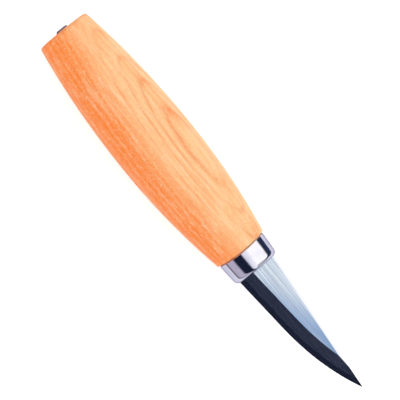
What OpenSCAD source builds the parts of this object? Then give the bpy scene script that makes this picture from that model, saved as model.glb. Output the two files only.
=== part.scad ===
// Chip carving knife with a laminated blade, a barrel grip and a slip-on sheath.
// +X runs along the knife to its point, +Y towards the spine, +Z out of the left side.
// The origin is on the knife's axis, at the widest section of the grip.
// Lengths are in millimetres. The sheath is drawn as it is when pulled off the knife.

/* [Grip] */
// Width of the grip at its widest section
grip_width = 28.9; // [24:0.1:34]
// Thickness of the grip as a share of its width
grip_flatness = 0.85; // [0.75:0.01:1]
// Length from the widest section to the ferrule
grip_front = 46.8; // [40:0.1:55]
// Length from the widest section to the butt
grip_rear = 52.3; // [45:0.1:60]
// How much narrower each side is at the ends of the grip
grip_taper = 4.25; // [3:0.05:4.5]

/* [Ferrule] */
// Length of the ferrule
ferrule_len = 9.5; // [8:0.1:14]
// Width of the ferrule where it meets the wood
ferrule_width = 19.2; // [18:0.1:20]
// Thickness of the ferrule's sheet steel
ferrule_wall = 0.75; // [0.5:0.05:1]
// Radius of the ferrule's front corner
ferrule_corner = 2; // [1:0.1:2.5]

/* [Blade] */
// Length of blade in front of the ferrule
blade_len = 55.6; // [50:0.1:62]
// Thickness of the blade
blade_thick = 2.7; // [2.4:0.05:3]
// Thickness of the hard steel core
core_thick = 0.9; // [0.6:0.05:1.2]
// Height of the spine above the axis at the ferrule
spine_root = 7.7; // [7:0.1:7.8]
// Depth of the edge below the axis at the ferrule
edge_root = 7.6; // [7:0.1:7.8]
// Height of the point above the axis
point_height = 2.6; // [1:0.1:4]
// Height of the ground bevel
bevel_height = 5.8; // [5:0.1:6.5]
// Width of the tang at the ferrule
tang_front_width = 7.5; // [6:0.1:9]
// Width of the tang at the butt
tang_end_width = 4.6; // [3.5:0.1:5.5]

/* [Sheath] */
// Length of the sheath from its mouth to its tip
sheath_len = 160.4; // [150:0.1:170]
// Half width of the sheath at its mouth
sheath_half_width = 13.75; // [13.6:0.05:15]
// Half thickness of the sheath at its mouth
sheath_half_thick = 11.95; // [11.9:0.05:12.3]
// Wall thickness of the sheath
sheath_wall = 1.2; // [1:0.05:1.3]
// Depth from the mouth to the ferrule's front when the knife is in
seat_depth = 21.7; // [18:0.1:21.7]
// Free gap between the point and the hanger when the sheath is off
off_gap = 13; // [5:1:40]

/* [Hanger] */
// Length of the hanger above the sheath's mouth
hanger_rise = 63.8; // [60:0.1:70]
// Thickness of the hanger
hanger_thick = 1.8; // [1.5:0.1:2]
// Width of the lip at the top of the hanger
lip_width = 21; // [18:0.5:24]
// Radius of the two button eyes
eye_radius = 4.3; // [4:0.05:4.6]
// Half the distance between the button eyes
eye_offset = 6; // [5.8:0.1:6.5]
// Width of the two slots
slot_width = 4; // [3.5:0.1:4.2]

/* [Hidden] */

// Places along the knife
joint_x = grip_front;
ferrule_x = joint_x + ferrule_len;
tenon_x = ferrule_x - 1.2;
butt_x = -grip_rear;
head_x = butt_x - 1;

// Grip
grip_bulge = 2.05;
butt_round = 1.1;
grip_steps = 22;
oval_points = 60;
tenon_radius = ferrule_width / 2 - ferrule_wall - 0.05;
channel_gap = 0.1;

// Blade
half_thick = blade_thick / 2;
half_core = core_thick / 2;
edge_rise = 0.071;
belly_start = 20;
belly_power = 2.3;
edge_land = 0.03;
spine_land = 0.8;
spine_chamfer = 0.35;
core_reach = bevel_height * core_thick / blade_thick;
blade_steps = 34;
root_steps = [tenon_x - ferrule_x, 0];

// Sheath
hanger_z = -(grip_width / 2 * grip_flatness + 0.3);
mouth_x = ferrule_x + blade_len + off_gap + hanger_rise;
tip_start = 133;
tip_run = sheath_len - tip_start;
ring_points = 48;
lip_rise = 2.1;
lip_half = 9.5;
rim_proud = 1.15;
rim_len = 4.2;
step_proud = 0.35;
step_len = 6;
floor_gap = 5.4;
tail_len = 14;
tail_half = 9.2;
stake_radius = 1.5;
stake_gap = 0.05;
stake_places = [4, 11];

// ---------- shared shapes ----------

// A solid lofted through rings of points that all have the same count
module loft(rings) {
    n = len(rings[0]);
    last = len(rings) - 1;
    sides = [for (i = [0:last - 1], j = [0:n - 1])
        [i * n + j, (i + 1) * n + j, (i + 1) * n + (j + 1) % n, i * n + (j + 1) % n]];
    start_cap = [[for (j = [0:n - 1]) j]];
    end_cap = [[for (j = [n - 1:-1:0]) last * n + j]];
    polyhedron([for (ring = rings) each ring], concat(sides, start_cap, end_cap), convexity = 10);
}

// An oval solid around the knife's axis, lofted through [place, half width] points
module oval_loft(points) {
    loft([for (p = points) [for (j = [0:oval_points - 1])
        let (a = 360 * j / oval_points) [p[0], p[1] * cos(a), p[1] * grip_flatness * sin(a)]]]);
}

// ---------- knife ----------

function grip_radius(x) =
    grip_width / 2 - grip_taper * pow(abs(x) / (x > 0 ? grip_front : grip_rear), grip_bulge);

function spine_y(d) = spine_root + (point_height - spine_root) * d / blade_len;

// Straight near the ferrule, then a belly that sweeps up to the point
function belly(d) = d < belly_start ? 0 : pow((d - belly_start) / (blade_len - belly_start), belly_power);
function edge_y(d) =
    -edge_root + edge_rise * d + (point_height + edge_root - edge_rise * blade_len) * belly(d);

// Half thickness of the ground blade at height y, where the edge is at e and the spine at s
function ground(y, e, s) =
    min(half_thick, half_thick * (y - e) / bevel_height,
        half_thick - spine_chamfer * (y - s + spine_land) / spine_land);

function core_section(d, e, s) =
    let (top = min(e + core_reach, e + 0.6 * (s - e)),
        z_top = min(half_core, ground(top, e, s)),
        z_spine = min(half_core, ground(s, e, s) + edge_land))
    [[e, -edge_land], [top, -z_top], [s, -z_spine], [s, z_spine], [top, z_top], [e, edge_land]];

function cladding_section(d, e, s) =
    let (low = e + core_reach,
        bevel = min(e + bevel_height, low + 0.6 * (s - low)),
        shoulder = max(s - spine_land, low + 0.8 * (s - low)))
    [[low, half_core], [s, half_core], [s, max(half_core, ground(s, e, s)) + 0.004],
        [shoulder, ground(shoulder, e, s)], [bevel, ground(bevel, e, s)]];

// Stations from inside the ferrule to reach, closer together towards the point
function stations(reach) =
    concat(root_steps, [for (i = [1:blade_steps]) reach * (1 - pow(1 - i / blade_steps, 1.4))]);

function ring_at(d, section) = [for (p = section) [ferrule_x + d, p[0], p[1]]];

module tang_layer(low_z, high_z) {
    front = tang_front_width / 2;
    end = tang_end_width / 2;
    translate([0, 0, low_z])
        linear_extrude(high_z - low_z)
            polygon([[tenon_x, -front], [tenon_x, front], [butt_x, end], [butt_x, -end]]);
}

module cladding() {
    // The cladding ends where the bevel has worn down to the core
    reach = blade_len - 2.9;
    union() {
        loft([for (d = stations(reach))
            ring_at(d, cladding_section(d, edge_y(max(d, 0)), spine_y(max(d, 0))))]);
        tang_layer(half_core, half_thick);
    }
}

// Hard middle layer with the edge, its tang and the peened tang end
module blade_core() {
    reach = blade_len - 0.05;
    color([0.27, 0.31, 0.42])
        union() {
            loft([for (d = stations(reach))
                ring_at(d, core_section(d, edge_y(max(d, 0)), spine_y(max(d, 0))))]);
            tang_layer(-half_core, half_core);
            translate([head_x, -tang_end_width / 2 - 0.15, -half_thick - 0.35])
                cube([1, tang_end_width + 0.3, blade_thick + 0.7]);
        }
}

module left_cladding() {
    color([0.72, 0.79, 0.9]) cladding();
}

module right_cladding() {
    color([0.72, 0.79, 0.9]) mirror([0, 0, 1]) cladding();
}

// Drawn steel cup, closed in front except for the blade's slot
module ferrule() {
    r_back = ferrule_width / 2;
    r_front = r_back - 0.4;
    corner = [for (a = [0:15:90])
        [ferrule_x - 0.3 - ferrule_corner * (1 - sin(a)), r_front - ferrule_corner * (1 - cos(a))]];
    color([0.8, 0.8, 0.84])
        difference() {
            oval_loft(concat([[joint_x, r_back]], corner, [[ferrule_x - 0.1, r_front / 2], [ferrule_x, 1.5]]));
            oval_loft([[joint_x - 1, tenon_radius + 0.05],
                [tenon_x - 1.3, tenon_radius - 0.2], [tenon_x, tenon_radius - 1.4]]);
            translate([tenon_x - 1, -edge_root - 0.1, -half_thick - 0.05])
                cube([3, edge_root + spine_root + 0.2, blade_thick + 0.1]);
        }
}

// Barrel of wood with a tenon for the ferrule and a channel for the tang
module grip() {
    barrel = [for (i = [0:grip_steps])
        let (x = butt_x + butt_round + (joint_x - 0.5 - butt_x - butt_round) * i / grip_steps)
        [x, grip_radius(x)]];
    butt_radius = grip_radius(butt_x + butt_round);
    butt_edge = [for (a = [0:30:60])
        [butt_x + butt_round * (1 - cos(a)), butt_radius - butt_round * (1 - sin(a))]];
    color([0.95, 0.64, 0.38])
        difference() {
            oval_loft(concat(butt_edge, barrel,
                [[joint_x, grip_radius(joint_x) - 0.25], [joint_x, tenon_radius],
                [tenon_x - 1.3, tenon_radius - 0.25], [tenon_x, tenon_radius - 1.5]]));
            tang_channel();
        }
}

module tang_channel() {
    front = tang_front_width / 2 + channel_gap;
    end = tang_end_width / 2 + channel_gap;
    translate([0, 0, -half_thick - channel_gap])
        linear_extrude(blade_thick + 2 * channel_gap)
            polygon([[tenon_x + 1, -front], [tenon_x + 1, front], [butt_x - 1, end], [butt_x - 1, -end]]);
}

// ---------- sheath ----------

// 0 before a, 1 after b, smooth between
function ease(u, a, b) = let (t = min(1, max(0, (u - a) / (b - a)))) t * t * (3 - 2 * t);

// Share of the full section that is left at u, for the rounded tip
function tip_share(u, power) =
    u <= tip_start ? 1 : pow(max(0, 1 - pow((u - tip_start) / tip_run, power)), 0.55);

function half_width_at(u) =
    (sheath_half_width - 2.95 * pow(min(max(u, 0), tip_start) / tip_start, 1.3)) * tip_share(u, 1.7);
function half_thick_at(u) =
    (sheath_half_thick - (sheath_half_thick - 6.6) * ease(u, 48, 76)
        - 1.7 * ease(u, 76, tip_start)) * tip_share(u, 2);
function centre_at(u) = 2.1 * pow(max(u, 0) / tip_start, 1.2);
function squareness_at(u) = 2.3 + 0.7 * ease(u, 48, 80);
function corner_cut(v, n) = sign(v) * pow(abs(v), 2 / n);

// One oval ring at u, grown by proud, with the mouth's rear lip raised by lip
function oval_ring(u, proud, lip) =
    let (w = half_width_at(u) + proud, h = half_thick_at(u) + proud, n = squareness_at(u))
    [for (j = [0:ring_points - 1])
        let (a = 360 * (j + 0.5) / ring_points,
            y = w * corner_cut(cos(a), n),
            z = max(hanger_z, h * corner_cut(sin(a), n)))
        [mouth_x + u - (z < 0 ? lip * max(0, 1 - pow(y / lip_half, 2)) : 0), y + centre_at(u), z]];

inner_places = [sheath_len - floor_gap, 151, 147, 141, 133, 116, 96, 78, 72, 66, 60, 54, 48, 30, 12, 3, 0.8];
outer_places = concat([12, 24, 36, 48, 52, 56, 60, 64, 68, 72, 76, 80, 90, 104, 118, 133],
    [for (s = [0.25, 0.48, 0.66, 0.8, 0.9, 0.96, 0.992]) tip_start + s * tip_run]);

// Lofted up the inside, over the mouth's rim and down the outside
module sheath_shell() {
    color([0.2, 0.2, 0.19])
        union() {
            loft(concat(
                [for (u = inner_places) oval_ring(u, -sheath_wall, 0)],
                [oval_ring(0, 0.15 - sheath_wall, lip_rise), oval_ring(0, -0.1, lip_rise),
                    oval_ring(0, 0, 0), oval_ring(0, rim_proud - 0.4, 0),
                    oval_ring(0.4, rim_proud, 0), oval_ring(rim_len, rim_proud, 0),
                    oval_ring(rim_len + 0.1, step_proud, 0), oval_ring(step_len, step_proud, 0),
                    oval_ring(step_len + 0.1, 0, 0)],
                [for (u = outer_places) oval_ring(u, 0, 0)]));
            hanger_seat();
        }
}

// Flat seat behind the mouth for the hanger's tail, with two stakes that hold it
module hanger_seat() {
    depth = -hanger_z;
    hollow_w = half_width_at(0) - sheath_wall / 2;
    hollow_h = half_thick_at(0) - sheath_wall / 2;
    translate([mouth_x, 0, 0])
        rotate([90, 0, 90])
            linear_extrude(tail_len)
                difference() {
                    translate([-tail_half, -depth]) square([2 * tail_half, depth - 8]);
                    scale([hollow_w, hollow_h]) circle(1, $fn = 96);
                }
    for (u = stake_places)
        translate([mouth_x + u, 0, hanger_z - hanger_thick])
            cylinder(r = stake_radius, h = hanger_thick + 0.5, $fn = 32);
}

// Strap with two button eyes that run into slots, and a rounded lip at the top
module hanger() {
    nose = hanger_thick / 2;
    color([0.1, 0.1, 0.1])
        translate([mouth_x, 0, hanger_z - hanger_thick])
            difference() {
                union() {
                    linear_extrude(hanger_thick)
                        difference() {
                            hanger_outline();
                            for (side = [-1, 1]) button_slot(side);
                            for (u = stake_places)
                                translate([u, 0]) circle(stake_radius + stake_gap, $fn = 32);
                        }
                    translate([nose - hanger_rise, lip_width / 2, nose])
                        rotate([90, 0, 0])
                            cylinder(r = nose, h = lip_width, $fn = 48);
                }
                translate([-57.6, -lip_width, hanger_thick - 0.4])
                    cube([0.6, 2 * lip_width, 1]);
            }
}

module hanger_outline() {
    lobe_radius = 9.2;
    lobe_u = -50.6;
    neck_u = -39.6;
    half_lip = lip_width / 2;
    for (side = [-1, 1])
        translate([lobe_u, side * eye_offset]) circle(lobe_radius, $fn = 64);
    half = [[hanger_thick / 2 - hanger_rise, half_lip], [-57.4, half_lip], [-46.2, 14], [neck_u, 12],
        [-2.9, 11], [-1, tail_half], [tail_len, tail_half]];
    polygon(concat(half, [for (i = [len(half) - 1:-1:0]) [half[i][0], -half[i][1]]]));
}

// A round eye whose slot runs towards the sheath, leaning slightly inwards
module button_slot(side) {
    eye_u = -49.7;
    slot_end = -6.7 - slot_width / 2;
    end_y = eye_offset - 1.1;
    half = slot_width / 2;
    translate([eye_u, side * eye_offset]) circle(eye_radius, $fn = 64);
    translate([slot_end, side * end_y]) circle(half, $fn = 32);
    polygon([[eye_u, side * (eye_offset - half)], [eye_u, side * (eye_offset + half)],
        [slot_end, side * (end_y + half)], [slot_end, side * (end_y - half)]]);
}

blade_core();
left_cladding();
right_cladding();
ferrule();
grip();
sheath_shell();
hanger();
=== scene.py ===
import math

import bmesh
import bpy
import numpy as np
from mathutils import Matrix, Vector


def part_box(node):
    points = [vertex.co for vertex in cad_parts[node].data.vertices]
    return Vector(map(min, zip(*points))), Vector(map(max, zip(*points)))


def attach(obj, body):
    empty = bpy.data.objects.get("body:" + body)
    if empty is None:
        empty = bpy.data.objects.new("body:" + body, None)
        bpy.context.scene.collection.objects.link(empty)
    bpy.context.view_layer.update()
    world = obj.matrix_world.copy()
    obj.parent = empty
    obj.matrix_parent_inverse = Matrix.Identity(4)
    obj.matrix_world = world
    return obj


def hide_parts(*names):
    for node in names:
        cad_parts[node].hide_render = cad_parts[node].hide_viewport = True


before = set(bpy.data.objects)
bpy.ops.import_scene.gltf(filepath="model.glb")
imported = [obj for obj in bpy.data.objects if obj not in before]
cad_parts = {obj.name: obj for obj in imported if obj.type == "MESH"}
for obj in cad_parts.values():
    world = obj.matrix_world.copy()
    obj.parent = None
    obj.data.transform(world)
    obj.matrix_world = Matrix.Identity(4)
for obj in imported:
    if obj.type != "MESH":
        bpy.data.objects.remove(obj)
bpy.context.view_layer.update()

# A chip carving knife with its sheath drawn off in front of it. Lengths are in millimetres until
# mesh_object() turns them into metres. u is a place along the sheath, measured from its mouth, and d is
# one along the blade, measured from the ferrule.
MM = 0.001

# The mesh attribute that says how deep a point is pressed into the plastic, from 0 to 1.
GROOVE = "pressed"


def box_mm(node):
    """Lowest and highest corner of a CAD node."""
    low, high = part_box(node)
    return np.array(low) / MM, np.array(high) / MM


# ---------- places, taken from the frame ----------

grip_low, grip_high = box_mm("grip")
ferrule_low, ferrule_high = box_mm("ferrule")
core_low, core_high = box_mm("blade_core")
shell_low, shell_high = box_mm("sheath_shell")
hanger_low, hanger_high = box_mm("hanger")

BUTT_X = grip_low[0]
TENON_X = grip_high[0]
JOINT_X = ferrule_low[0]
FERRULE_X = ferrule_high[0]
HEAD_X = core_low[0]
GRIP_HALF = grip_high[1]
FLATNESS = grip_high[2] / grip_high[1]
FERRULE_HALF = ferrule_high[1]
# The blade stops this far short of where its outlines meet.
POINT_BLUNT = 0.05
BLADE_LEN = core_high[0] - FERRULE_X + POINT_BLUNT

TAIL_LEN = 14.0
MOUTH_X = hanger_high[0] - TAIL_LEN
SHEATH_LEN = shell_high[0] - MOUTH_X
STRAP_FRONT_Z = hanger_high[2]
STRAP_BACK_Z = hanger_low[2]
HANGER_TOP_U = hanger_low[0] - MOUTH_X

# ---------- small helpers ----------


def ease(value, low, high):
    """0 up to low, 1 from high, smooth between."""
    share = np.clip((value - low) / (high - low), 0.0, 1.0)
    return share * share * (3 - 2 * share)


def full_turn(count):
    """Angles once around, in radians."""
    return np.linspace(0, 2 * math.pi, count, endpoint=False)


def placed(name, data):
    """A new object in the scene for a mesh, curve, lamp or camera."""
    made = bpy.data.objects.new(name, data)
    bpy.context.scene.collection.objects.link(made)
    return made


def evaluated_mesh(piece):
    """The mesh of a piece with its curve settings or modifiers applied."""
    bpy.context.view_layer.update()
    return bpy.data.meshes.new_from_object(piece.evaluated_get(bpy.context.evaluated_depsgraph_get()))


def mesh_object(name, vertices, faces, sharp=35.0, groove=None):
    """A mesh object from millimetres, smooth but for edges sharper than the angle in degrees."""
    mesh = bpy.data.meshes.new(name)
    mesh.from_pydata((np.asarray(vertices, float) * MM).tolist(), [], faces)
    if groove is not None:
        mesh.attributes.new(GROOVE, "FLOAT", "POINT").data.foreach_set("value", groove.astype(np.float32))
    tidy_normals(mesh, sharp)
    return placed(name, mesh)


def tidy_normals(mesh, sharp):
    """Merges points that coincide, turns the faces outwards and shades them smooth."""
    work = bmesh.new()
    work.from_mesh(mesh)
    bmesh.ops.remove_doubles(work, verts=work.verts, dist=1e-7)
    bmesh.ops.recalc_face_normals(work, faces=work.faces)
    work.to_mesh(mesh)
    work.free()
    mesh.shade_smooth()
    mesh.set_sharp_from_angle(angle=math.radians(sharp))


def loft(rings, closed=False, start=0):
    """Vertices and faces through rings of equal count: capped at both ends, or closed on itself."""
    rings = np.asarray(rings, float)
    count, points = rings.shape[:2]
    bands = count if closed else count - 1
    here = np.arange(points)
    after = (here + 1) % points
    faces = []
    for i in range(bands):
        a = start + i * points
        b = start + (i + 1) % count * points
        faces += np.stack([a + here, b + here, b + after, a + after], axis=1).tolist()
    if not closed:
        faces.append((start + here[::-1]).tolist())
        faces.append((start + (count - 1) * points + here).tolist())
    return rings.reshape(-1, 3), faces


def joined(parts):
    """Vertices and faces of several lofts as one mesh."""
    vertices, faces = [], []
    for rings, closed in parts:
        more, sides = loft(rings, closed, start=sum(len(v) for v in vertices))
        vertices.append(more)
        faces += sides
    return np.concatenate(vertices), faces


def oval(x, radius, turn):
    """A ring around the knife's axis. x may change around the ring."""
    return np.stack([x + 0 * turn, radius * np.cos(turn), radius * FLATNESS * np.sin(turn)], axis=1)


def rectangle(x, half_y, half_z, turn):
    """A rectangle's outline, with its points at the same angles as an oval's."""
    reach = np.minimum(half_y / np.maximum(abs(np.cos(turn)), 1e-9),
                       half_z / np.maximum(abs(np.sin(turn)), 1e-9))
    return np.stack([x + 0 * turn, reach * np.cos(turn), reach * np.sin(turn)], axis=1)


def show(piece, material, body, node):
    """Gives a piece its material and its body, and hides the CAD node that it stands for."""
    piece.data.materials.append(material)
    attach(piece, body)
    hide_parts(node)


# ---------- materials ----------

# What the metals mirror at a grazing angle: dimmer and bluer than white.
EDGE_TINT = (0.55, 0.55, 0.66, 1.0)


def colour(red, green, blue):
    """A linear colour from 0 to 255 display values."""
    shares = [c / 255 for c in (red, green, blue)]
    return [c / 12.92 if c < 0.04045 else ((c + 0.055) / 1.055) ** 2.4 for c in shares] + [1.0]


class Nodes:
    """A node tree that is being built."""

    def __init__(self, tree):
        self.tree = tree

    def add(self, kind, inputs=None, **settings):
        """A new node, with its settings made and its inputs linked or set."""
        made = self.tree.nodes.new("ShaderNode" + kind)
        for name, value in settings.items():
            setattr(made, name, value)
        for key, value in (inputs or {}).items():
            self.feed(made.inputs[key], value)
        return made

    def feed(self, socket, value):
        """Links another node's output to a socket, or sets the socket's own value."""
        if isinstance(value, bpy.types.NodeSocket):
            self.tree.links.new(value, socket)
        else:
            socket.default_value = value

    def maths(self, operation, a, b=0.0):
        """The result of one operation on one or two values."""
        return self.add("Math", {0: a, 1: b}, operation=operation).outputs[0]

    def between(self, value, low, high, start=0.0, end=1.0):
        """start up to low, end from high, smooth between."""
        inputs = {"Value": value, "From Min": low, "From Max": high, "To Min": start, "To Max": end}
        return self.add("MapRange", inputs, interpolation_type="SMOOTHSTEP").outputs[0]


class Graph(Nodes):
    """The nodes of one material. Each method but the last two adds nodes and returns their output."""

    def __init__(self, name, metallic=0.0, roughness=0.5):
        self.material = bpy.data.materials.new(name)
        self.material.use_nodes = True
        super().__init__(self.material.node_tree)
        self.surface = self.tree.nodes["Principled BSDF"]
        self.surface.inputs["Metallic"].default_value = metallic
        self.surface.inputs["Roughness"].default_value = roughness
        place = self.add("TexCoord").outputs["Object"]
        self.mm = self.add("VectorMath", {0: place, 3: 1 / MM}, operation="SCALE").outputs[0]
        self.x, self.y, self.z = self.add("SeparateXYZ", {0: self.mm}).outputs

    def product(self, first, *factors):
        """All the values multiplied together."""
        for factor in factors:
            first = self.maths("MULTIPLY", first, factor)
        return first

    def total(self, *terms):
        """The sum of (value, weight) pairs."""
        result = 0.0
        for value, weight in terms:
            result = self.add("Math", {0: value, 1: weight, 2: result}, operation="MULTIPLY_ADD").outputs[0]
        return result

    def noise(self, per_mm, detail=3.0, offset=(0, 0, 0)):
        """Noise with that many features for each millimetre along X, Y and Z."""
        spread = self.add("Mapping", {"Vector": self.mm, "Scale": per_mm, "Location": offset})
        return self.add("TexNoise", {"Vector": spread.outputs[0], "Scale": 1.0, "Detail": detail}).outputs[0]

    def layers(self, value, per_unit, detail):
        """Noise that changes only with one value, for growth rings."""
        inputs = {"W": value, "Scale": per_unit, "Detail": detail}
        return self.add("TexNoise", inputs, noise_dimensions="1D").outputs[0]

    def mix(self, share, first, second):
        """The first colour where share is 0, the second where it is 1."""
        return self.add("Mix", {0: share, 6: first, 7: second}, data_type="RGBA").outputs[2]

    def bump(self, height, depth_mm):
        """Gives the surface a relief."""
        made = self.add("Bump", {"Height": height, "Distance": depth_mm * MM, "Strength": 1.0})
        self.feed(self.surface.inputs["Normal"], made.outputs[0])

    def set(self, **inputs):
        """Links or sets the shader's own inputs, named in lower case with underscores."""
        for name, value in inputs.items():
            self.feed(self.surface.inputs[name.replace("_", " ").title()], value)


# Levels of the dark growth lines: six around the pale heart, which is partly painted light, then evenly
# spaced ones.
RING_LEVELS = [13.0, 12.0, 10.8, 9.0, 6.6, 3.4] + [-7.4 - 1.7 * i for i in range(8)]
RING_SHIFT = -0.825
# The tenon is painted dark between these distances in front of the joint: painted shade where it sits behind
# the ferrule's slot, also standing for wood scorched by the tang. The butt's edge is a little darker over
# this length.
SLOT_SHADE_START = 1.8
SLOT_SHADE_END = 2.6
BUTT_SHADE_LEN = 1.6


def lacquered_birch():
    """Curly birch under a thin satin lacquer. Its rings change with level, across Y and Z and along X; it is
    paler on the upper +Y side, partly as painted light.
    """
    g = Graph("lacquered_birch", roughness=0.36)
    drift = g.noise((0.02, 0.05, 0.05), detail=1.0)
    ripple = g.noise((0.1, 0.5, 0.5), detail=3.0)
    fibre = g.noise((0.22, 5.0, 5.0), detail=5.0)
    level = g.total((g.x, 0.031), (g.y, 0.68), (g.z, 0.73), (drift, 1.0), (ripple, 0.35), (fibre, 0.3),
                    (RING_SHIFT, 1.0))
    nearest = 9.0
    for ring in RING_LEVELS:
        nearest = g.maths("MINIMUM", nearest, g.maths("ABSOLUTE", g.maths("SUBTRACT", level, ring)))
    line = g.between(nearest, 0.0, 0.2, 1.0, 0.0)
    halo = g.between(nearest, 0.0, 0.5, 1.0, 0.0)
    fading = g.between(g.noise((0.03, 0.14, 0.14), offset=(9, 2, 4)), 0.38, 0.62, 0.15, 1.0)
    grain = g.noise((1.5, 2.9, 2.9), detail=3.0, offset=(3, 8, 1))
    fleck = g.between(grain, 0.52, 0.68)
    pale_fleck = g.between(g.noise((1.0, 2.2, 2.2), detail=2.0, offset=(5, 1, 7)), 0.52, 0.68)
    # Painted light: pale peach where level is high, on the upper and +Y side that the key lamp lights, deep
    # orange on the other side; partly the wood's own tone too.
    heart_and_painted_light = g.between(level, 0.0, 11.0)
    wood = g.mix(heart_and_painted_light, colour(254, 135, 41), colour(255, 207, 149))
    below = g.between(level, 2.5, 10.0, 1.0, 0.14)
    bands = g.between(g.layers(level, 1.05, detail=3.0), 0.4, 0.62)
    pale_lines = g.between(g.layers(level, 2.1, detail=1.0), 0.55, 0.68)
    wood = g.mix(g.product(bands, below, 0.72), wood, colour(255, 128, 40))
    wood = g.mix(g.product(pale_lines, below, 0.58), wood, colour(255, 204, 142))
    dark = g.total((g.product(line, fading), 0.4), (g.product(halo, fading), 0.18))
    wood = g.mix(dark, wood, colour(246, 122, 52))
    wood = g.mix(g.product(fleck, 0.34), wood, colour(246, 132, 60))
    wood = g.mix(g.product(pale_fleck, 0.46), wood, colour(255, 218, 174))
    mottle = g.noise((0.06, 0.75, 0.75), detail=3.0, offset=(7, 7, 2))
    wood = g.mix(g.between(mottle, 0.45, 0.72, 0.0, 0.3), wood, colour(255, 134, 48))
    wood = g.mix(g.between(mottle, 0.3, 0.5, 0.3, 0.0), wood, colour(255, 222, 178))
    wood = g.mix(g.between(fibre, 0.3, 0.6, 0.14, 0.0), wood, colour(248, 124, 50))
    # Painted shade: the tenon's end, seen through the ferrule's slot, is painted dark brown.
    slot_shade = g.between(g.x, JOINT_X + SLOT_SHADE_START, JOINT_X + SLOT_SHADE_END, 0.0, 0.92)
    wood = g.mix(slot_shade, wood, colour(38, 22, 14))
    butt_shade = g.between(g.x, BUTT_X, BUTT_X + BUTT_SHADE_LEN, 0.25, 0.0)
    wood = g.mix(butt_shade, wood, colour(190, 96, 50))
    g.set(base_color=wood, roughness=g.between(fibre, 0.25, 0.75, 0.32, 0.46))
    g.surface.inputs["Coat Weight"].default_value = 0.1
    g.surface.inputs["Specular IOR Level"].default_value = 0.3
    g.surface.inputs["Coat Roughness"].default_value = 0.28
    g.bump(g.total((fibre, 0.7), (fleck, -0.5)), 0.05)
    return g.material


def side_steel():
    """Softer outer steel: brushed flats, a finer bevel and a bright spine. The flats hold a painted
    reflection: bright near the ferrule, darker and bluer towards the point and the belly.
    """
    g = Graph("cladding_steel", metallic=1.0)
    _, lean, facing = g.add("SeparateXYZ", {0: g.add("TexCoord").outputs["Normal"]}).outputs
    flat = g.between(g.maths("ABSOLUTE", facing), 0.98, 0.995)
    spine = g.between(lean, 0.2, 0.38)
    streak = g.noise((0.035, 3.2, 3.2), detail=5.0)
    broad = g.noise((0.02, 0.5, 0.5), detail=2.0, offset=(4, 4, 4))
    cloud = g.noise((0.11, 0.16, 0.16), detail=3.0, offset=(1, 7, 3))
    # Painted reflection: the flats' colour fades from bright near the ferrule to darker and bluer towards
    # the point and the belly.
    slant = g.total((g.x, 1.0), (g.y, -2.5))
    along = g.between(slant, FERRULE_X - 4, FERRULE_X + 0.5 * BLADE_LEN)
    steel = g.mix(along, colour(239, 250, 255), colour(156, 186, 222))
    steel = g.mix(g.between(streak, 0.42, 0.7, 0.0, 0.45), steel, colour(140, 160, 194))
    steel = g.mix(g.between(broad, 0.45, 0.7, 0.0, 0.3), steel, colour(206, 216, 236))
    steel = g.mix(flat, colour(206, 218, 240), steel)
    steel = g.mix(spine, steel, colour(236, 239, 247))
    satin = g.total((streak, 0.14), (cloud, 0.1), (0.13, 1.0))
    polished = g.total((streak, 0.14), (0.15, 1.0))
    g.set(base_color=steel, roughness=g.total((satin, flat), (polished, g.maths("SUBTRACT", 1.0, flat))))
    g.surface.inputs["Specular Tint"].default_value = EDGE_TINT
    g.bump(g.total((streak, 0.5), (cloud, 1.0)), 0.03)
    return g.material


def core_steel():
    """Hard carbon steel: darker, with a finely ground edge and a hammered end at the butt."""
    g = Graph("core_steel", metallic=1.0)
    streak = g.noise((0.05, 4.5, 4.5), detail=5.0)
    steel = g.mix(g.between(streak, 0.35, 0.7), colour(160, 172, 200), colour(124, 136, 166))
    hammered = g.between(g.x, BUTT_X - 0.2, BUTT_X, 1.0, 0.0)
    steel = g.mix(hammered, steel, colour(146, 142, 150))
    dents = g.product(g.noise((0.9, 0.9, 0.9), detail=2.0), hammered)
    g.set(base_color=steel, roughness=g.total((streak, 0.2), (hammered, 0.2), (0.11, 1.0)))
    g.surface.inputs["Specular Tint"].default_value = EDGE_TINT
    g.bump(g.total((streak, 0.4), (dents, 3.0)), 0.03)
    return g.material


def ferrule_plate():
    """Bright plated steel with faint drawing lines and handling marks."""
    g = Graph("ferrule_plate", metallic=1.0)
    drawn = g.noise((0.12, 5.0, 5.0), detail=4.0)
    haze = g.noise((0.3, 0.3, 0.3), detail=4.0, offset=(2, 5, 8))
    plate = g.mix(g.between(haze, 0.4, 0.75, 0.0, 0.5), colour(242, 240, 250), colour(222, 220, 234))
    g.set(base_color=plate, roughness=g.total((haze, 0.08), (drawn, 0.05), (0.015, 1.0)))
    g.surface.inputs["Specular Tint"].default_value = EDGE_TINT
    g.bump(drawn, 0.006)
    return g.material


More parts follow.
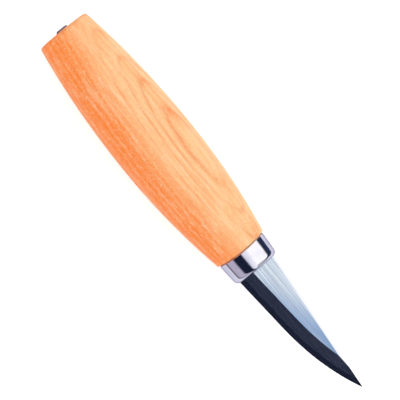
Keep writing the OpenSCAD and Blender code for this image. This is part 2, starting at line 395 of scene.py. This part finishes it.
def moulded_plastic(name, dark, light, roughness, mirror):
    """Moulded plastic with a fine spark-eroded surface, rubbed paler in places, duller in its grooves and
    painted darker in them as painted shade.
    """
    g = Graph(name)
    fine = g.noise((2.6, 2.6, 2.6), detail=2.0)
    flow = g.noise((0.05, 0.16, 0.16), detail=3.0, offset=(6, 2, 9))
    rubbed = g.between(g.noise((0.12, 0.5, 0.5), detail=5.0, offset=(1, 1, 5)), 0.5, 0.78)
    pressed = g.add("Attribute", attribute_name=GROOVE).outputs["Fac"]
    body = g.mix(g.between(flow, 0.3, 0.7), colour(*dark), colour(*light))
    body = g.mix(g.product(rubbed, 0.16), body, colour(*[c + 30 for c in light]))
    # Painted shade: the grooves are painted darker, towards a third of the dark tone, by how deep they are
    # pressed.
    body = g.mix(g.product(pressed, 0.6), body, colour(*[c // 3 for c in dark]))
    gloss = g.total((fine, 0.12), (rubbed, -0.08), (pressed, 0.2), (roughness - 0.06, 1.0))
    g.set(base_color=body, roughness=gloss)
    g.surface.inputs["Specular IOR Level"].default_value = mirror
    g.bump(g.total((fine, 1.0), (flow, 0.6)), 0.03)
    return g.material


# ---------- the wooden grip ----------

# Half widths of the tang's channel at the tenon and at the butt.
CHANNEL_FRONT = (3.85, 1.45)
CHANNEL_END = (2.4, 1.45)
# How much narrower each side is at the ends of the grip, and the power of its curve.
GRIP_TAPER = 4.25
GRIP_TAPER_POWER = 2.05
BUTT_ROUND = 1.1
SHOULDER_ROUND = 0.5
TENON_RADIUS = FERRULE_HALF - 0.8
JOINT_BOW = 0.9
# Steps around a rounded edge.
EDGE_STEPS = np.radians([0, 22, 45, 68, 90])


def grip_radius(x):
    """Half width of the barrel: fullest at the origin, finer towards both ends."""
    reach = np.where(x > 0, JOINT_X, -BUTT_X)
    return GRIP_HALF - GRIP_TAPER * (abs(x) / reach) ** GRIP_TAPER_POWER


def bowed(x, turn, fade=9.0):
    """The joint between wood and ferrule, and what is near it, bows forward on the broad faces."""
    return x + JOINT_BOW * np.sin(turn) ** 2 * ease(x, JOINT_X - fade, JOINT_X)


def wooden_grip():
    """Tenon, shoulder and barrel with a rounded butt, closed around the tang's channel."""
    turn = full_turn(192)
    front_radius = float(grip_radius(np.array(JOINT_X - SHOULDER_ROUND)))
    butt_radius = float(grip_radius(np.array(BUTT_X + BUTT_ROUND)))
    rings = [rectangle(TENON_X, *CHANNEL_FRONT, turn)]
    rings += [oval(TENON_X, TENON_RADIUS - 1.5, turn), oval(TENON_X - 1.3, TENON_RADIUS - 0.25, turn)]
    rings += [oval(JOINT_X + 1.5, TENON_RADIUS, turn)]
    rings += [oval(bowed(JOINT_X, turn), radius, turn) for radius in (TENON_RADIUS, FERRULE_HALF)]
    for angle in EDGE_STEPS:
        x = JOINT_X - SHOULDER_ROUND * (1 - math.cos(angle))
        radius = front_radius - SHOULDER_ROUND * (1 - math.sin(angle))
        rings.append(oval(bowed(x, turn), radius, turn))
    for x in np.linspace(JOINT_X - SHOULDER_ROUND - 0.3, BUTT_X + BUTT_ROUND + 0.2, 130):
        rings.append(oval(bowed(x, turn), float(grip_radius(x)), turn))
    for angle in np.radians([90, 72, 54, 36, 18, 0]):
        x = BUTT_X + BUTT_ROUND * (1 - math.cos(angle))
        rings.append(oval(x, butt_radius - BUTT_ROUND * (1 - math.sin(angle)), turn))
    rim = oval(BUTT_X, butt_radius - BUTT_ROUND, turn)
    hole = rectangle(BUTT_X, *CHANNEL_END, turn)
    rings += [rim + (hole - rim) * share for share in (0.2, 0.5, 0.8, 1.0)]
    vertices, faces = loft(rings, closed=True)
    return mesh_object("wooden_grip", vertices, faces)


# ---------- the ferrule ----------

FERRULE_WALL = 0.75
FERRULE_CORNER = 2.0
FRONT_HALF = FERRULE_HALF - 0.4
FLAT_RADIUS = FRONT_HALF - FERRULE_CORNER
FRONT_DOME = 0.3
SLOT_HALF = (7.72, 1.4)
SLOT_EASE = 0.14
REAR_ROLL = 0.4
REAR_GAP = 0.1
# How far inward the side is, at some distances in front of the joint.
FERRULE_TAPER = ((2.2, 0.07), (5.0, 0.22))
# Half widths of the rings that follow the dome inward from the corner.
DOME_RINGS = [6.4, 5.2, 4.0, 2.8, 1.8]


def slot_radius(turn, grow=0.0):
    """The slot's outline as the half width of an oval that reaches it at each angle."""
    return np.minimum((SLOT_HALF[0] + grow) / np.maximum(abs(np.cos(turn)), 1e-9),
                      (SLOT_HALF[1] + grow) / np.maximum(FLATNESS * abs(np.sin(turn)), 1e-9))


def front_x(radius):
    """Where the ferrule's face is: a low dome, then the rounded corner."""
    beyond = np.clip(radius - FLAT_RADIUS, 0, FERRULE_CORNER)
    corner = FERRULE_CORNER - np.sqrt(FERRULE_CORNER ** 2 - beyond ** 2)
    return FERRULE_X - FRONT_DOME * np.minimum(1, radius / FLAT_RADIUS) ** 2 - corner


def ferrule_cup():
    """A drawn cup: rolled rear rim, rounded front corner and a domed face with the blade's slot."""
    turn = full_turn(240)
    rings = []
    for angle in EDGE_STEPS:
        x = bowed(JOINT_X, turn) + REAR_GAP + REAR_ROLL * (1 - math.sin(angle))
        rings.append(oval(x, FERRULE_HALF - REAR_ROLL * math.sin(angle), turn))
    rings = rings[::-1]
    rings += [oval(JOINT_X + along, FERRULE_HALF - inward, turn) for along, inward in FERRULE_TAPER]
    targets = [FRONT_HALF - FERRULE_CORNER * (1 - math.cos(a)) for a in np.radians(np.arange(0, 91, 9))]
    opening = slot_radius(turn, SLOT_EASE)
    for target in targets + DOME_RINGS:
        radius = np.maximum(target, opening)
        rings.append(oval(front_x(radius), radius, turn))
    rings.append(oval(front_x(opening), opening, turn))
    opening = slot_radius(turn)
    rings.append(oval(front_x(opening) - SLOT_EASE, opening, turn))
    inner_face_x = TENON_X + 0.02
    rings.append(oval(inner_face_x, opening, turn))
    rings.append(oval(inner_face_x, np.maximum(TENON_RADIUS - 1.3, opening + 0.1), turn))
    rings.append(oval(inner_face_x - 1.3, TENON_RADIUS - 0.15, turn))
    rings.append(oval(JOINT_X + 1.6, FERRULE_HALF - FERRULE_WALL, turn))
    rings.append(oval(bowed(JOINT_X, turn) + REAR_GAP, FERRULE_HALF - FERRULE_WALL, turn))
    vertices, faces = loft(rings, closed=True)
    return mesh_object("ferrule_cup", vertices, faces)


# ---------- the laminated blade and its tang ----------

# How far the tang's riveted end stands past its sides.
HEAD_PROUD = 0.35
HALF_THICK = core_high[2] - HEAD_PROUD
HALF_CORE = 0.45
SPINE_ROOT = 7.7
EDGE_ROOT = 7.6
POINT_HEIGHT = 2.6
EDGE_RISE = 0.071
BELLY_START = 20.0
BELLY_POWER = 2.3
BEVEL_HEIGHT = 5.8
SPINE_LAND = 0.8
SPINE_CHAMFER = 0.35
EDGE_LAND = 0.03
TANG_FRONT = 3.75
TANG_END = 2.3
# The riveted end is a little wider than the tang, and squarer than an oval. Each of its rings: its place,
# and how far inside the full size it is.
HEAD_SPREAD = 0.15
HEAD_POWER = 0.55
HEAD_RINGS = ((BUTT_X + 0.3, 0.25), (BUTT_X, 0.12), (BUTT_X - 0.35, 0.0), (BUTT_X - 0.7, 0.06),
              (HEAD_X + 0.12, 0.3), (HEAD_X, 0.8))


def spine_y(d):
    """Height of the straight back."""
    return SPINE_ROOT + (POINT_HEIGHT - SPINE_ROOT) * d / BLADE_LEN


def edge_y(d):
    """Straight near the ferrule, then a belly that sweeps up to the point."""
    belly = max(0.0, (d - BELLY_START) / (BLADE_LEN - BELLY_START)) ** BELLY_POWER
    return -EDGE_ROOT + EDGE_RISE * d + (POINT_HEIGHT + EDGE_ROOT - EDGE_RISE * BLADE_LEN) * belly


def ground(y, edge, spine):
    """Half thickness of the ground blade at height y."""
    chamfer = HALF_THICK - SPINE_CHAMFER * (y - spine + SPINE_LAND) / SPINE_LAND
    return min(HALF_THICK, HALF_THICK * (y - edge) / BEVEL_HEIGHT, chamfer)


def weld_line(d, edge, spine):
    """Height of the line where the hard core comes out on the bevel. It wanders a little."""
    wander = 0.1 * math.sin(0.55 * d + 0.8) + 0.06 * math.sin(1.4 * d)
    height = BEVEL_HEIGHT * HALF_CORE / HALF_THICK + wander * (1 - float(ease(d, 40, 50)))
    return min(edge + height, edge + 0.9 * (spine - edge))


def cladding_reach():
    """How far the outer layers go: to where the weld line runs out at the spine."""
    d = BELLY_START
    while spine_y(d) - edge_y(d) > BEVEL_HEIGHT * HALF_CORE / HALF_THICK + 0.05:
        d += 0.05
    return d


def stations(reach):
    """Places along the blade, closer together towards the point."""
    steps = 150
    return [reach * (1 - (1 - i / steps) ** 1.4) for i in range(steps + 1)]


def creases(edge, spine):
    """Heights of the top of the bevel and the foot of the spine's chamfer. They meet near the point."""
    bevel, shoulder = edge + BEVEL_HEIGHT, spine - SPINE_LAND
    if bevel > shoulder:
        rise, fall = HALF_THICK / BEVEL_HEIGHT, SPINE_CHAMFER / SPINE_LAND
        meeting = (HALF_THICK + fall * shoulder + rise * edge) / (rise + fall)
        shoulder = min(meeting, spine - 0.01)
        bevel = shoulder - 0.01
    return bevel, shoulder


def core_ring(d):
    """One side of the core's section: edge, weld line and spine, as (y, half thickness)."""
    edge, spine = edge_y(d), spine_y(d)
    weld = weld_line(d, edge, spine)
    at_spine = min(HALF_CORE, ground(spine, edge, spine))
    return [(edge, EDGE_LAND), (weld, ground(weld, edge, spine)), (spine, at_spine)]


def cladding_ring(d):
    """An outer layer's section, from the weld line over the spine and down to the bevel."""
    edge, spine = edge_y(d), spine_y(d)
    weld = weld_line(d, edge, spine)
    bevel, shoulder = creases(edge, spine)
    inside = min(HALF_CORE, ground(spine, edge, spine) - 0.004)
    top = ground(spine, edge, spine)
    return [(weld, ground(weld, edge, spine)), (spine, inside), (spine, top),
            (shoulder, ground(shoulder, edge, spine)), (bevel, ground(bevel, edge, spine))]


def ring_3d(x, section):
    """A section of (y, z) points at a place along the object."""
    return [(x, y, z) for y, z in section]


def blade_core():
    """Hard middle layer with the edge, its tang, and the tang's end riveted over at the butt."""

    def both_sides(section):
        """A closed section from the (y, half thickness) points of one side."""
        return [(y, -z) for y, z in section] + [(y, z) for y, z in reversed(section)]

    def tang(half):
        """The tang's section, with as many points as the blade's."""
        return both_sides([(-half, HALF_CORE), (0, HALF_CORE), (half, HALF_CORE)])

    blade = [ring_3d(BUTT_X, tang(TANG_END)), ring_3d(TENON_X, tang(TANG_FRONT))]
    blade.append(ring_3d(TENON_X, both_sides(core_ring(0))))
    blade += [ring_3d(FERRULE_X + d, both_sides(core_ring(d))) for d in stations(BLADE_LEN - POINT_BLUNT)]
    turn = full_turn(48)
    dents = 0.03 * np.sin(3 * turn + 1) + 0.03 * np.sin(7 * turn)
    head = []
    for x, shrink in HEAD_RINGS:
        y = (TANG_END + HEAD_SPREAD - shrink) * np.sign(np.cos(turn)) * abs(np.cos(turn)) ** HEAD_POWER
        z = (HALF_THICK + HEAD_PROUD - shrink) * np.sign(np.sin(turn)) * abs(np.sin(turn)) ** HEAD_POWER
        head.append(np.stack([x + 0 * turn, y * (1 - abs(dents)), z * (1 - abs(dents))], axis=1))
    vertices, faces = joined([(blade, False), (head, False)])
    return mesh_object("laminated_core", vertices, faces, sharp=8.0)


def blade_side(name, side):
    """One outer layer of the blade, down to where its bevel has worn through to the core."""
    tang = [(-TANG_FRONT, HALF_CORE), (TANG_FRONT, HALF_CORE), (TANG_FRONT, HALF_THICK),
            (0, HALF_THICK), (-TANG_FRONT, HALF_THICK)]
    tang_end = [(y * TANG_END / TANG_FRONT, z) for y, z in tang]
    rings = [ring_3d(BUTT_X, tang_end), ring_3d(TENON_X, tang), ring_3d(TENON_X, cladding_ring(0))]
    rings += [ring_3d(FERRULE_X + d, cladding_ring(d)) for d in stations(cladding_reach())]
    vertices, faces = loft(rings)
    vertices[:, 2] *= side
    return mesh_object(name, vertices, faces, sharp=8.0)


# ---------- the sheath ----------

TIP_START = 133.0
TIP_RUN = SHEATH_LEN - TIP_START
TIP_SHIFT = 2.1
HALF_WIDTH = 13.75
HALF_DEPTH = 11.95
# The sheath gets thinner between these places, down to this half depth.
THINNING = (48, 76)
THIN_HALF_DEPTH = 6.6
# Between these places its section turns from an oval into a squarer one, as its power goes up.
SQUARING = (48, 80)
OVAL_POWER = 2.3
MORE_POWER = 0.7
# How much narrower and thinner it then is at the start of its tip.
WIDTH_TAPER = 2.95
DEPTH_TAPER = 1.7
SHEATH_WALL = 1.2
FLOOR_GAP = 5.4
RIM_PROUD = 1.15
RIM_LEN = 4.2
RIM_ROUND = 0.5
STEP_PROUD = 0.35
STEP_LEN = 6.0
LIP_RISE = 2.1
LIP_HALF = 9.5
RIM_STEPS = np.radians([0, 30, 60, 90])
TAIL_HALF = 9.2
STAKE_RADIUS = 1.5
STAKE_EASE = 0.05
STAKE_PLACES = (4.0, 11.0)
FRONT_POINTS = 120
BACK_POINTS = 56
RING_PITCH = 0.32
# Places of the rings up the inside, from the floor to the mouth.
INNER_PLACES = [SHEATH_LEN - FLOOR_GAP, 151, 147, 141, 133, 116, 96, 78, 72, 66, 60, 54, 48, 30, 12, 3, 0.8]

GROOVE_DEPTH = 0.34
BORDER_DEPTH = 0.24
GROOVE_WIDTH = 0.36
GROOVE_REACH = 1.2
GROOVE_PITCH = 0.2
# Each border: its start, its end, and its half width near either.
BORDERS = ((9.0, 54.0, 8.6, 8.4), (76.0, 143.0, 7.4, 6.6))
BORDER_POINT = 7.0
# Each row of diamonds: their centres, half length and half width.
DIAMONDS = (([23.5, 39.5], 6.0, 5.0), ([89.5 + 10 * i for i in range(5)], 4.4, 4.0))


def half_width_at(u):
    """Half width of the outside, without rim and grooves."""
    along = np.clip(u, 0, TIP_START) / TIP_START
    return (HALF_WIDTH - WIDTH_TAPER * along ** 1.3) * tip_share(u, 1.7)


def half_depth_at(u):
    """Half thickness of the outside: deep over the grip, thinner over the blade."""
    depth = HALF_DEPTH - (HALF_DEPTH - THIN_HALF_DEPTH) * ease(u, *THINNING)
    depth -= DEPTH_TAPER * ease(u, THINNING[1], TIP_START)
    return depth * tip_share(u, 2.0)


def tip_share(u, power):
    """Share of the full section that is left, for the rounded tip."""
    return max(0.0, 1 - max(0.0, (u - TIP_START) / TIP_RUN) ** power) ** 0.55


def centre_at(u):
    """Height of the middle line, which rises towards the spine."""
    return TIP_SHIFT * (max(u, 0) / TIP_START) ** 1.2


def sheath_ring(u, proud, lip=0.0):
    """One ring of the sheath, grown by proud. The mouth's rear lip rises by lip."""
    width = half_width_at(u) + proud
    depth = half_depth_at(u) + proud
    power = OVAL_POWER + MORE_POWER * float(ease(u, *SQUARING))
    front = np.sin(np.linspace(math.pi / 2, -math.pi / 2, FRONT_POINTS, endpoint=False))
    back = np.sin(np.linspace(-math.pi / 2, math.pi / 2, BACK_POINTS, endpoint=False))
    share = np.concatenate([front, back])
    side = np.concatenate([np.ones(FRONT_POINTS), -np.ones(BACK_POINTS)])
    y = width * share
    z = side * depth * (1 - abs(share) ** power).clip(0, 1) ** (1 / power)
    z = np.maximum(z, STRAP_FRONT_Z)
    rise = np.where(side < 0, lip * np.maximum(0, 1 - (y / LIP_HALF) ** 2), 0)
    return np.stack([MOUTH_X + u - rise, y + centre_at(u), z], axis=1)


def arc(centre, radii, first, last):
    """Points of an elliptical arc, in degrees."""
    angles = np.radians(np.linspace(first, last, 40))
    return np.stack([centre[0] + radii[0] * np.cos(angles), centre[1] + radii[1] * np.sin(angles)], axis=1)


def straight(first, last):
    """Points of a straight groove, close enough together for it to be pressed in evenly."""
    length = math.dist(first, last)
    share = np.linspace(0, 1, int(length / GROOVE_PITCH) + 2)[:, None]
    return np.array(first) * (1 - share) + np.array(last) * share


def diamond(centre, half_length, half_width):
    """The upper half of a plain diamond."""
    top = (centre, half_width)
    return [straight((centre - half_length, 0), top), straight(top, (centre + half_length, 0))]


def border(start, end, first_y, last_y):
    """The upper half of a long border that runs to a point at both ends."""
    corners = [(start, 0), (start + BORDER_POINT, first_y), (end - BORDER_POINT, last_y), (end, 0)]
    return [straight(first, last) for first, last in zip(corners, corners[1:])]


def ornament():
    """Plain grooves pressed into the sheath's front, as (depth, curve) pairs for one half."""
    curves = [(BORDER_DEPTH, line) for places in BORDERS for line in border(*places)]
    for centres, half_length, half_width in DIAMONDS:
        for centre in centres:
            curves += [(GROOVE_DEPTH, line) for line in diamond(centre, half_length, half_width)]
    return curves


def pressed_depth(u, y):
    """How deep the ornament is pressed in at each point."""
    depth = np.zeros(u.shape)
    for deep, curve in ornament():
        low, high = curve.min(0) - GROOVE_REACH, curve.max(0) + GROOVE_REACH
        near = (u > low[0]) & (u < high[0]) & (abs(y) > low[1]) & (abs(y) < high[1])
        if not near.any():
            continue
        gap = np.hypot(u[near][:, None] - curve[:, 0], abs(y[near])[:, None] - curve[:, 1]).min(axis=1)
        depth[near] = np.maximum(depth[near], deep * np.exp(-(gap / GROOVE_WIDTH) ** 2))
    return depth


def sheath_shell():
    """Lofted up the inside, over the mouth's rim and down the outside, with its seat and stakes."""
    rings = [sheath_ring(u, -SHEATH_WALL) for u in INNER_PLACES]
    rings += [sheath_ring(0.25, 0.06 - SHEATH_WALL, LIP_RISE), sheath_ring(0, 0.3 - SHEATH_WALL, LIP_RISE),
              sheath_ring(0, -0.25, LIP_RISE), sheath_ring(0.15, -0.05, LIP_RISE)]
    for angle in RIM_STEPS:
        proud = RIM_PROUD - RIM_ROUND * (1 - math.sin(angle))
        rings.append(sheath_ring(RIM_ROUND * (1 - math.cos(angle)), proud))
    for angle in RIM_STEPS:
        proud = RIM_PROUD - RIM_ROUND * (1 - math.cos(angle))
        rings.append(sheath_ring(RIM_LEN - RIM_ROUND * (1 - math.sin(angle)), proud))
    rings += [sheath_ring(RIM_LEN + 0.05, STEP_PROUD), sheath_ring(STEP_LEN - 0.2, STEP_PROUD),
              sheath_ring(STEP_LEN, STEP_PROUD - 0.1), sheath_ring(STEP_LEN + 0.1, 0.0)]
    plain_count = len(rings)
    places = list(np.arange(STEP_LEN + 0.4, TIP_START + 12, RING_PITCH))
    last = (places[-1] - TIP_START) / TIP_RUN
    places += [TIP_START + TIP_RUN * (1 - (1 - last) * (1 - s) ** 2) for s in np.linspace(0.02, 0.97, 50)]
    rings += [sheath_ring(u, 0.0) for u in places]
    rings = np.array(rings)
    outer = rings[plain_count:, :FRONT_POINTS]
    u = outer[:, :, 0] - MOUTH_X
    y = outer[:, :, 1] - np.array([centre_at(v) for v in places])[:, None]
    pressed = np.zeros(rings.shape[:2])
    pressed[plain_count:, :FRONT_POINTS] = pressed_depth(u, y)
    rings[:, :, 2] -= pressed
    parts = [(rings, False), (hanger_seat(), False)] + [(stake(u), False) for u in STAKE_PLACES]
    vertices, faces = joined(parts)
    groove = np.zeros(len(vertices))
    groove[:pressed.size] = pressed.ravel() / GROOVE_DEPTH
    return mesh_object("moulded_sheath", vertices, faces, sharp=40.0, groove=groove)


def hanger_seat():
    """A flat seat behind the mouth, hollowed to the sheath's own curve."""
    hollow_y = HALF_WIDTH - SHEATH_WALL / 2
    hollow_z = HALF_DEPTH - SHEATH_WALL / 2
    y = np.linspace(TAIL_HALF, -TAIL_HALF, 40)
    section = [(-TAIL_HALF, STRAP_FRONT_Z), (TAIL_HALF, STRAP_FRONT_Z)]
    section += list(zip(y, -hollow_z * np.sqrt(1 - (y / hollow_y) ** 2)))
    return [ring_3d(MOUTH_X + u, section) for u in (0.0, TAIL_LEN)]


def stake(u):
    """A plastic stake through the hanger's tail, melted flat at the back."""
    turn = full_turn(48)
    rings = []
    for z, radius in ((STRAP_FRONT_Z + 0.5, STAKE_RADIUS), (STRAP_BACK_Z + 0.25, STAKE_RADIUS),
                      (STRAP_BACK_Z + 0.08, STAKE_RADIUS - 0.08), (STRAP_BACK_Z, STAKE_RADIUS - 0.35)):
        x = MOUTH_X + u + radius * np.cos(turn)
        rings.append(np.stack([x, radius * np.sin(turn), np.full(len(turn), z)], axis=1))
    return rings


# ---------- the hanger ----------

EYE_U = -49.7
EYE_RADIUS = 4.3
EYE_OFFSET = 6.0
SLOT_HALF_WIDTH = 2.0
SLOT_END_U = -8.7
SLOT_END_Y = 4.9
LOBE_U = -50.6
LOBE_RADIUS = 9.2
LIP_HALF_WIDTH = 10.5
LIP_CORNER = 0.6
EDGE_ROUND = 0.4
STRAP_SHARP = 50.0
LIP_GROOVE_U = -57.6
STRAP_CORNERS = [(-39.6, 12.0), (-2.9, 11.0), (-1.0, TAIL_HALF), (TAIL_LEN, TAIL_HALF)]


def strap_outline():
    """Lip, round shoulders over the eyes, then straight sides down to the tail."""
    lobe_front = math.degrees(math.acos(-math.sqrt(LOBE_RADIUS ** 2 - (LIP_HALF_WIDTH - EYE_OFFSET) ** 2)
                                        / LOBE_RADIUS))
    half = [(HANGER_TOP_U, LIP_HALF_WIDTH - LIP_CORNER), (HANGER_TOP_U + LIP_CORNER, LIP_HALF_WIDTH)]
    half += [*arc((LOBE_U, EYE_OFFSET), (LOBE_RADIUS, LOBE_RADIUS), lobe_front, 58), *STRAP_CORNERS]
    return half + [(u, -y) for u, y in reversed(half)]


def eye_and_slot(side):
    """A round eye that runs out into a slot with a round end."""
    mouth = math.degrees(math.asin(SLOT_HALF_WIDTH / EYE_RADIUS))
    eye = arc((EYE_U, EYE_OFFSET), (EYE_RADIUS, EYE_RADIUS), mouth, 360 - mouth)
    end = arc((SLOT_END_U, SLOT_END_Y), (SLOT_HALF_WIDTH, SLOT_HALF_WIDTH), -90, 90)
    return [(u, side * y) for u, y in [*eye, *end]]


def plate(name, outlines, low_z, high_z):
    """A flat plate with rounded edges, cut to the first outline and pierced by the others."""
    curve = bpy.data.curves.new(name + "_outline", "CURVE")
    curve.dimensions = "2D"
    curve.fill_mode = "BOTH"
    curve.extrude = ((high_z - low_z) / 2 - EDGE_ROUND) * MM
    curve.bevel_depth = EDGE_ROUND * MM
    curve.bevel_resolution = 4
    curve.offset = -EDGE_ROUND * MM
    for outline in outlines:
        spline = curve.splines.new("POLY")
        spline.points.add(len(outline) - 1)
        for point, (u, y) in zip(spline.points, outline):
            point.co = ((MOUTH_X + u) * MM, y * MM, 0, 1)
        spline.use_cyclic_u = True
    drawn = placed(name + "_outline", curve)
    mesh = evaluated_mesh(drawn)
    bpy.data.objects.remove(drawn)
    mesh.transform(Matrix.Translation((0, 0, (low_z + high_z) / 2 * MM)))
    mesh.name = name
    tidy_normals(mesh, STRAP_SHARP)
    return placed(name, mesh)


def cut(piece, low, high):
    """Cuts a thin box out of a piece."""
    corners = [(x, y, z) for x in (low[0], high[0]) for y in (low[1], high[1]) for z in (low[2], high[2])]
    sides = [(0, 1, 3, 2), (4, 6, 7, 5), (0, 4, 5, 1), (2, 3, 7, 6), (0, 2, 6, 4), (1, 5, 7, 3)]
    tool = mesh_object("cutter", corners, sides)
    cutting = piece.modifiers.new("cut", "BOOLEAN")
    cutting.operation = "DIFFERENCE"
    cutting.object = tool
    mesh = evaluated_mesh(piece)
    piece.modifiers.clear()
    piece.data = mesh
    bpy.data.objects.remove(tool)
    tidy_normals(mesh, STRAP_SHARP)


def hanger_strap():
    """A flat strap with its eyes, slots and stake holes, a groove below its lip and a mark in the middle."""
    ring = arc((0, 0), (STAKE_RADIUS + STAKE_EASE, STAKE_RADIUS + STAKE_EASE), 0, 351)
    holes = [[(u + place, y) for u, y in ring] for place in STAKE_PLACES]
    outlines = [strap_outline(), eye_and_slot(1), eye_and_slot(-1), *holes]
    strap = plate("hanger_strap", outlines, STRAP_BACK_Z, STRAP_FRONT_Z)
    groove_x = MOUTH_X + LIP_GROOVE_U
    cut(strap, (groove_x, -20, STRAP_FRONT_Z - 0.45), (groove_x + 0.6, 20, STRAP_FRONT_Z + 1))
    cut(strap, (groove_x + 1.2, -0.16, STRAP_FRONT_Z - 0.2), (groove_x + 5.8, 0.16, STRAP_FRONT_Z + 1))
    return strap


# ---------- put together ----------

show(wooden_grip(), lacquered_birch(), "knife", "grip")
show(ferrule_cup(), ferrule_plate(), "knife", "ferrule")
show(blade_core(), core_steel(), "knife", "blade_core")
cladding = side_steel()
show(blade_side("blade_left_side", 1), cladding, "knife", "left_cladding")
show(blade_side("blade_right_side", -1), cladding, "knife", "right_cladding")
shell_plastic = moulded_plastic("shell_plastic", (35, 35, 32), (44, 44, 40), 0.5, mirror=0.22)
hanger_plastic = moulded_plastic("hanger_plastic", (9, 9, 9), (15, 15, 15), 0.45, mirror=0.1)
show(sheath_shell(), shell_plastic, "sheath", "sheath_shell")
show(hanger_strap(), hanger_plastic, "sheath", "hanger")

# ---------- floor, light and camera ----------

FLOOR_SIZE = 14.0
VIEW_CENTRE = (24.4, -0.2)
VIEW_WIDTH = 140.8
VIEW_TURN = 50.81
LENS = 450.0
SENSOR = 36.0
PANEL_DISTANCE = 1.5
PANEL_LENGTH = 2.6
KEY_ANGLES = (14.0, 71.0)
KEY_RADIANCE = 2.05
KEY_REFLECTION = 0.6
FILL_ANGLES = (-85.0, -20.0)
FILL_RADIANCE = 1.0
# The world is dimmer near the horizon: at it, its strength is this, and it is full from this height.
HORIZON_STRENGTH = 0.12
HORIZON = 0.14
TABLE = (0.74, 0.74, 0.82)
MAUVE = (0.5, 0.46, 0.56)
DARK = (0.01, 0.014, 0.032)
GREY = (0.5, 0.5, 0.5)
NIGHT = (0.015, 0.023, 0.045)
# What is mirrored at each angle in degrees, from the table on one side to the table on the other.
PANEL_STOPS = [(-92, TABLE), (-90, MAUVE), (-54, MAUVE), (-47, DARK), (-13, DARK), (-9, (0.72, 0.72, 0.82)),
               (0, (0.86, 0.87, 0.92)), (13, (1.0, 1.0, 1.0)), (16, GREY), (68, GREY), (78, NIGHT),
               (90, NIGHT), (92, TABLE)]
FLAG_REACH = (-150, 115)
FLAG_DISTANCE = 70.0
FLAG_TOP = 10.0


def pale_floor():
    """A back-lit white table, as for a catalogue picture."""
    g = Graph("floor_white", roughness=0.7)
    mottle = g.noise((0.004, 0.004, 0.004), detail=2.0)
    g.set(base_color=g.mix(mottle, (0.84, 0.84, 0.85, 1), (0.87, 0.87, 0.88, 1)))
    g.surface.inputs["Emission Color"].default_value = (1, 1, 1, 1)
    g.surface.inputs["Emission Strength"].default_value = 0.52
    g.surface.inputs["Specular IOR Level"].default_value = 0.0
    half = FLOOR_SIZE / 2 / MM
    z = STRAP_BACK_Z - 0.01
    floor = mesh_object("floor", [(-half, -half, z), (half, -half, z), (half, half, z), (-half, half, z)],
                        [(0, 1, 2, 3)])
    floor.data.materials.append(g.material)
    floor.visible_glossy = False


def studio_surroundings():
    """Panels and dark gaps around the knife's axis, by angle from straight up towards +Y."""
    world = bpy.data.worlds.new("studio")
    bpy.context.scene.world = world
    world.use_nodes = True
    world.node_tree.nodes.clear()
    n = Nodes(world.node_tree)
    _, y, z = n.add("SeparateXYZ", {0: n.add("TexCoord").outputs["Generated"]}).outputs
    around = {"Value": n.maths("ARCTAN2", y, z), "From Min": -math.pi, "From Max": math.pi}
    panels = n.add("ValToRGB", {0: n.add("MapRange", around).outputs[0]})
    ramp = panels.color_ramp
    while len(ramp.elements) < len(PANEL_STOPS):
        ramp.elements.new(0.5)
    for element, (degrees, rgb) in zip(ramp.elements, PANEL_STOPS):
        element.position = (degrees + 180) / 360
        element.color = (*rgb, 1)
    strength = n.between(n.maths("ABSOLUTE", z), 0.0, HORIZON, HORIZON_STRENGTH, 1.0)
    light = n.add("Background", {"Color": panels.outputs[0], "Strength": strength})
    backdrop = n.add("Background", {"Color": (1, 1, 1, 1)})
    seen = n.add("LightPath").outputs["Is Camera Ray"]
    chosen = n.add("MixShader", {0: seen, 1: light.outputs[0], 2: backdrop.outputs[0]})
    n.add("OutputWorld", {"Surface": chosen.outputs[0]})


def panel(name, angles, radiance, mirrored):
    """A soft panel beside the knife, between two angles from straight up towards +Y."""
    low, high = (math.radians(a) for a in angles)
    middle = (low + high) / 2
    lamp = bpy.data.lights.new(name, "AREA")
    lamp.shape = "RECTANGLE"
    lamp.size = PANEL_LENGTH
    lamp.size_y = 2 * PANEL_DISTANCE * math.tan((high - low) / 2)
    lamp.energy = radiance * math.pi * lamp.size * lamp.size_y
    made = placed(name, lamp)
    made.rotation_euler = (-middle, 0, 0)
    made.location = (0.03, PANEL_DISTANCE * math.sin(middle), PANEL_DISTANCE * math.cos(middle))
    made.visible_camera = False
    made.visible_glossy = mirrored


def dark_flag():
    """A low black card beside the knife, seen only in what is polished."""
    g = Graph("flag_black", roughness=0.9)
    g.set(base_color=g.mix(g.noise((0.05, 0.05, 0.05)), colour(34, 46, 70), colour(42, 56, 84)))
    g.surface.inputs["Specular IOR Level"].default_value = 0.0
    rear, front = FLAG_REACH
    y = FLAG_DISTANCE
    corners = [(rear, y, STRAP_BACK_Z), (front, y, STRAP_BACK_Z), (front, y, FLAG_TOP), (rear, y, FLAG_TOP)]
    card = mesh_object("dark_flag", corners, [(0, 1, 2, 3)])
    card.data.materials.append(g.material)
    card.visible_camera = False
    card.visible_diffuse = False
    card.visible_shadow = False
    card.visible_transmission = False


def photographer():
    """A camera straight above the knife, turned so that the point is at the lower right."""
    lens = bpy.data.cameras.new("camera")
    lens.lens = LENS
    lens.sensor_width = SENSOR
    camera = placed("camera", lens)
    camera.location = (VIEW_CENTRE[0] * MM, VIEW_CENTRE[1] * MM, VIEW_WIDTH * MM * LENS / SENSOR)
    camera.rotation_euler = (0, 0, math.radians(VIEW_TURN))
    bpy.context.scene.camera = camera


pale_floor()
studio_surroundings()
panel("key_panel", KEY_ANGLES, KEY_REFLECTION, mirrored=True)
panel("key_light", KEY_ANGLES, KEY_RADIANCE, mirrored=False)
panel("fill_panel", FILL_ANGLES, FILL_RADIANCE, mirrored=False)
dark_flag()
photographer()
bpy.context.scene.view_settings.view_transform = "Standard"
